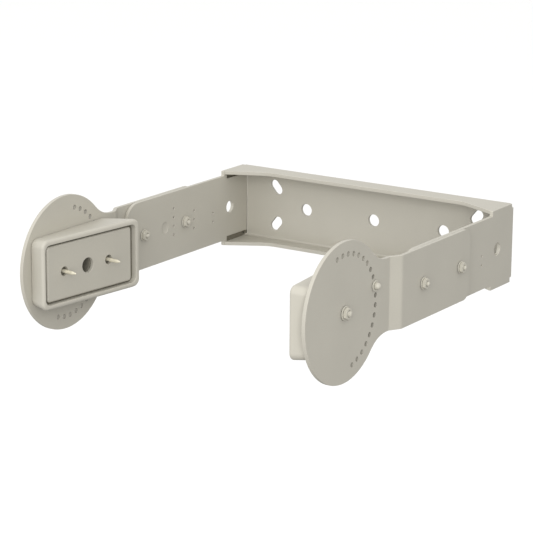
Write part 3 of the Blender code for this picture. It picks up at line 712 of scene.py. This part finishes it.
BUTTON_RIM = 0.25           # height of a button head's straight rim, of the head's height
BUTTON_EDGE = 0.3 * MM      # chamfer under a button head


def index_screw_shape(node, thread_size, seat):
    """A button-headed screw whose shank starts at z = 0 and whose head sits on the seat height."""
    size = extent(node)
    half, top = size.z / 2, size.x
    rim = seat + BUTTON_RIM * (top - seat)
    dome = [(half * out, rim + (top - rim) * up) for out, up in arc((0, 0), 1, 0, 90, 8)]
    points = [(0, 0), (thread_size / 2, 0), (thread_size / 2, seat), (half - BUTTON_EDGE, seat),
              (half, seat + BUTTON_EDGE), *dome[:-1], (0, top)]
    return spun(points)


class YOKE_OT_index_fasteners(bpy.types.Operator):
    """Make the screws that stand in the discs' set holes, with their washers"""

    bl_idname = "yoke.index_fasteners"
    bl_label = "Index fasteners"

    def execute(self, context):
        sizes = context.scene.yoke_sizes
        coat = [material_named("painted_zinc_fastener", fastener_coat)]
        for word, side in SIDES.items():
            screw, ring = word + "_index_screw", word + "_index_washer"
            far = max(abs(corner.x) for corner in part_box(ring))
            near = min(abs(corner.x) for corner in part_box(screw))
            shape = index_screw_shape(screw, sizes.index_thread, far + GAP - near)
            finished(lay_along_x(shape, screw, side), screw, coat)
            make_washer(ring, side, sizes.index_thread)
        return {"FINISHED"}


# ---------------------------------------------------------------- adapters

POCKET_REACH = 10.4 * MM    # from the pitch axis to just outside the bolt head's pocket
UNDER_PLATE = 2.0 * MM      # below the plate's face, where shade is painted on the casting
RECESS_FLOOR = 0.5          # a housing's face that looks more than this the plate's way is the recess's floor


def in_shaded_recess(face, on_face, away, axis):
    """Whether a housing's face lies under the plate or in the pocket of the pivot bolt's head, where shade is
    painted.
    """
    centre = face.calc_center_median()
    aside = centre - axis
    in_pocket = math.hypot(aside.y, aside.z) < POCKET_REACH
    under = (centre - on_face).dot(away) < -UNDER_PLATE
    return under and (in_pocket or face.normal.dot(away) > RECESS_FLOOR)


class YOKE_OT_adapter_housings(bpy.types.Operator):
    """Make both cast adapter housings, with soft edges round the plate's recess"""

    bl_idname = "yoke.adapter_housings"
    bl_label = "Adapter housings"

    def execute(self, context):
        for word in SIDES:
            node = word + "_adapter_housing"
            shape = soften(copied(node), context.scene.yoke_sizes.cast_edge, segments=3,
                           angle=CAST_CORNER)
            on_face, away = face_mount(word)
            axis = pitch_axis(word)
            shape.normal_update()
            for face in shape.faces:
                if in_shaded_recess(face, on_face, away, axis):
                    # painted shade: faces under the plate and in the pocket take the dark second material
                    face.material_index = 1
            finished(shape, node, [material_named("powder_coated_casting", cast_coat),
                                   material_named("painted_shade_in_recesses", painted_shade_in_recesses)])
        return {"FINISHED"}


RIM_REACH = 6.0 * MM        # how near a plate's outline an edge lies to be part of it
RIM_FRONT = 0.9             # one face at the rim looks the plate's way by more than this,
RIM_SIDE = 0.5              # and the other by less than this


def pillow_rim(shape, node, away, radius):
    """Let a plate's face fall softly to its rim, and leave the edges of its holes as they are."""
    low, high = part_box(node)
    shape.normal_update()
    rim = []
    for edge in shape.edges:
        middle = (edge.verts[0].co + edge.verts[1].co) / 2
        inset = min(middle.y - low.y, high.y - middle.y, middle.z - low.z, high.z - middle.z)
        leans = sorted(face.normal.dot(away) for face in edge.link_faces)
        if inset < RIM_REACH and leans[-1] > RIM_FRONT and leans[0] < RIM_SIDE:
            rim.append(edge)
    bmesh.ops.bevel(shape, geom=rim, offset=radius, offset_type="OFFSET", segments=5, profile=0.5,
                    affect="EDGES", clamp_overlap=True, loop_slide=True, material=-1)
    return shape


class YOKE_OT_adapter_plates(bpy.types.Operator):
    """Make both adapter plates, with a soft rim and rounded edges"""

    bl_idname = "yoke.adapter_plates"
    bl_label = "Adapter plates"

    def execute(self, context):
        sizes = context.scene.yoke_sizes
        for word in SIDES:
            node = word + "_adapter_plate"
            shape = pillow_rim(copied(node), node, face_mount(word)[1], sizes.plate_pillow)
            soften(shape, sizes.plate_edge, segments=3, angle=CAST_CORNER)
            finished(shape, node, [material_named("powder_coated_plate", plate_coat)])
        return {"FINISHED"}


PIN_TAPER = 4.5 * MM        # length of a pin's tapered end
PIN_BLEND = 0.6 * MM        # length over which the shank turns into the taper,
PIN_DRAW_IN = 0.08 * MM     # and how far the radius has drawn in by then
PIN_NOSE = 0.9 * MM         # radius of the rounded tip
PIN_CHAMFER = 0.4 * MM      # at the foot


def pin_shape(node, away, diameter):
    """A locating pin with a tapered, rounded end, in its place along the adapter face's normal."""
    low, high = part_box(node)
    # along X, a leaning pin's box takes the pin's run and the width of its leaning end
    length = ((high - low).x - diameter * abs(away.y)) / abs(away.x)
    radius = diameter / 2
    shank, taper = length - PIN_TAPER - PIN_BLEND, length - PIN_TAPER
    tip = arc((0, length - PIN_NOSE), PIN_NOSE, 15, 90, 6)
    points = [(0, 0), (radius - PIN_CHAMFER, 0), (radius, PIN_CHAMFER), (radius, shank),
              (radius - PIN_DRAW_IN, taper), *tip[:-1], (0, length)]
    shape = spun(points)
    turn = away.to_track_quat("Z", "Y").to_matrix().to_4x4()
    start = (low + high) / 2 - away * length / 2
    bmesh.ops.transform(shape, matrix=Matrix.Translation(start) @ turn, verts=shape.verts)
    return shape


class YOKE_OT_pins(bpy.types.Operator):
    """Make the four pointed pins that locate the carried unit"""

    bl_idname = "yoke.pins"
    bl_label = "Locating pins"

    def execute(self, context):
        for word in SIDES:
            for end in ("front", "rear"):
                node = word + "_" + end + "_pin"
                shape = pin_shape(node, face_mount(word)[1], context.scene.yoke_sizes.pin)
                finished(shape, node, [material_named("yellow_passivated_zinc", passivated_zinc)])
        return {"FINISHED"}


FIBRE_EDGE = 0.4 * MM       # rounding of a fibre washer's rims


class YOKE_OT_friction_washers(bpy.types.Operator):
    """Make the fibre washers that hold the adapters' pitch by friction"""

    bl_idname = "yoke.friction_washers"
    bl_label = "Friction washers"

    def execute(self, context):
        for word, side in SIDES.items():
            node = word + "_friction_washer"
            bore = context.scene.yoke_sizes.pivot_thread + 2 * GAP
            shape = washer_shape(node, bore, FIBRE_EDGE)
            fibre = material_named("vulcanised_fibre", pressed_fibre)
            finished(lay_along_x(shape, node, side), node, [fibre])
        return {"FINISHED"}


# ---------------------------------------------------------------- stage

FLOOR_RADIUS = 14.0         # metres, past what any view takes in
FLOOR_SIDES = 96
TOP_SOFTBOX = Vector((-0.6, -0.6, 2.0))     # from the bracket's middle
TOP_SIZE = 1.6
FRONT_SOFTBOX = Vector((1.4, -2.2, 0.7))    # likewise
FRONT_SIZE = 1.8
BRIGHT_SIDE = Vector((-0.25, -0.35, 0.90)).normalized()     # where the light tent is brightest
LOOK_AT = Vector((-5.0, -214.1, -8.6)) * MM      # where the camera looks


def matt_floor(colour):
    """Seamless studio paper: pale and matt, with a faint mottle."""
    material, tree, shader, place = new_material("studio_paper", colour)
    mottle = add_node(tree, "ShaderNodeTexNoise", {"Vector": place, "Scale": 3.0, "Detail": 2.0})
    paper = add_node(tree, "ShaderNodeMix", {0: mottle.outputs["Fac"], MIX_A: shade(colour, 0.995),
                                             MIX_B: shade(colour, 1.0)}, data_type="RGBA")
    tree.links.new(paper.outputs[MIX_OUT], shader.inputs["Base Color"])
    shader.inputs["Roughness"].default_value = 0.9
    return material


def softbox(name, place, target, size, power):
    """A square area light that faces a point."""
    light = bpy.data.lights.new(name, "AREA")
    light.shape = "SQUARE"
    light.size = size
    light.energy = power
    lamp = bpy.data.objects.new(name, light)
    lamp.location = place
    lamp.rotation_euler = (target - place).to_track_quat("-Z", "Y").to_euler()
    bpy.context.scene.collection.objects.link(lamp)


def light_tent(level, slope):
    """Soft light from all round that grows towards the tent's bright side, and is darker below."""
    world = bpy.data.worlds.new("light_tent")
    world.use_nodes = True
    tree = world.node_tree
    way = add_node(tree, "ShaderNodeTexCoord").outputs["Generated"]
    facing = add_node(tree, "ShaderNodeVectorMath", {0: way, 1: BRIGHT_SIDE}, operation="DOT_PRODUCT")
    glow = add_node(tree, "ShaderNodeMapRange", {"Value": facing.outputs["Value"], "From Min": -1.0,
                                                 "From Max": 1.0, "To Min": level - slope,
                                                 "To Max": level + slope})
    tree.links.new(glow.outputs["Result"], tree.nodes["Background"].inputs["Strength"])
    tree.nodes["Background"].inputs["Color"].default_value = (1.0, 1.0, 1.0, 1.0)
    return world


def studio_floor(place, colour):
    """A round floor that only shows: light from below comes from the tent, which is darker there."""
    shape = bmesh.new()
    bmesh.ops.create_circle(shape, cap_ends=True, segments=FLOOR_SIDES, radius=FLOOR_RADIUS)
    bmesh.ops.translate(shape, verts=shape.verts, vec=place)
    mesh = bpy.data.meshes.new("studio_floor")
    shape.to_mesh(mesh)
    shape.free()
    mesh.materials.append(matt_floor(colour))
    floor = bpy.data.objects.new("studio_floor", mesh)
    bpy.context.scene.collection.objects.link(floor)
    floor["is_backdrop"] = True
    floor.visible_diffuse = False
    floor.visible_glossy = False


def studio_camera(stage):
    """The camera, turned round the point that it looks at."""
    camera = bpy.data.cameras.new("studio_camera")
    camera.sensor_width = 36.0
    camera.lens = stage.lens
    holder = bpy.data.objects.new("studio_camera", camera)
    bpy.context.scene.collection.objects.link(holder)
    level = math.cos(stage.elevation)
    back = Vector((math.sin(stage.azimuth) * level, -math.cos(stage.azimuth) * level,
                   math.sin(stage.elevation)))
    turn = back.to_track_quat("Z", "Y").to_matrix().to_4x4() @ Matrix.Rotation(stage.roll, 4, "Z")
    holder.matrix_world = Matrix.Translation(LOOK_AT + back * stage.distance) @ turn
    bpy.context.scene.camera = holder


class YOKE_OT_stage(bpy.types.Operator):
    """Make the floor, the softboxes, the light tent and the camera"""

    bl_idname = "yoke.stage"
    bl_label = "Stage"

    def execute(self, context):
        scene = context.scene
        stage = scene.yoke_stage
        low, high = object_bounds()
        middle = (low + high) / 2
        studio_floor((middle.x, middle.y, low.z - stage.floor_drop), stage.floor_colour)
        softbox("top_softbox", middle + TOP_SOFTBOX, middle, TOP_SIZE, stage.top_light)
        softbox("front_softbox", middle + FRONT_SOFTBOX, middle, FRONT_SIZE, stage.front_light)
        scene.world = light_tent(stage.tent_level, stage.tent_slope)
        scene.view_settings.view_transform = "Standard"
        studio_camera(stage)
        return {"FINISHED"}


# ---------------------------------------------------------------- panel and registration

SETTINGS = {
    "yoke_finish": YokeFinishSettings,
    "yoke_sizes": YokeSizeSettings,
    "yoke_stage": YokeStageSettings,
}
OPERATORS = (
    YOKE_OT_channel,
    YOKE_OT_arms,
    YOKE_OT_arm_fasteners,
    YOKE_OT_pivot_fasteners,
    YOKE_OT_index_fasteners,
    YOKE_OT_adapter_housings,
    YOKE_OT_adapter_plates,
    YOKE_OT_pins,
    YOKE_OT_friction_washers,
    YOKE_OT_stage,
)


class YOKE_PT_pieces(bpy.types.Panel):
    """The bracket's pieces and settings in the 3D view's sidebar"""

    bl_idname = "YOKE_PT_pieces"
    bl_label = "Yoke bracket"
    bl_space_type = "VIEW_3D"
    bl_region_type = "UI"
    bl_category = "Yoke"

    def draw(self, context):
        for name in SETTINGS:
            group = getattr(context.scene, name)
            box = self.layout.box()
            for key in group.__annotations__:
                box.prop(group, key)
        for operator in OPERATORS:
            self.layout.operator(operator.bl_idname)


CLASSES = (*SETTINGS.values(), *OPERATORS, YOKE_PT_pieces)


def register():
    """Register the classes and hang the settings on the scene."""
    for kind in CLASSES:
        bpy.utils.register_class(kind)
    for name, kind in SETTINGS.items():
        setattr(bpy.types.Scene, name, bpy.props.PointerProperty(type=kind))


def unregister():
    """Undo what register did."""
    for name in SETTINGS:
        delattr(bpy.types.Scene, name)
    for kind in reversed(CLASSES):
        bpy.utils.unregister_class(kind)


def main():
    """Make every piece in order."""
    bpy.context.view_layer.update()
    register()
    bpy.ops.yoke.channel()
    bpy.ops.yoke.arms()
    bpy.ops.yoke.arm_fasteners()
    bpy.ops.yoke.pivot_fasteners()
    bpy.ops.yoke.index_fasteners()
    bpy.ops.yoke.adapter_housings()
    bpy.ops.yoke.adapter_plates()
    bpy.ops.yoke.pins()
    bpy.ops.yoke.friction_washers()
    bpy.ops.yoke.stage()


if __name__ == "__main__":
    main()
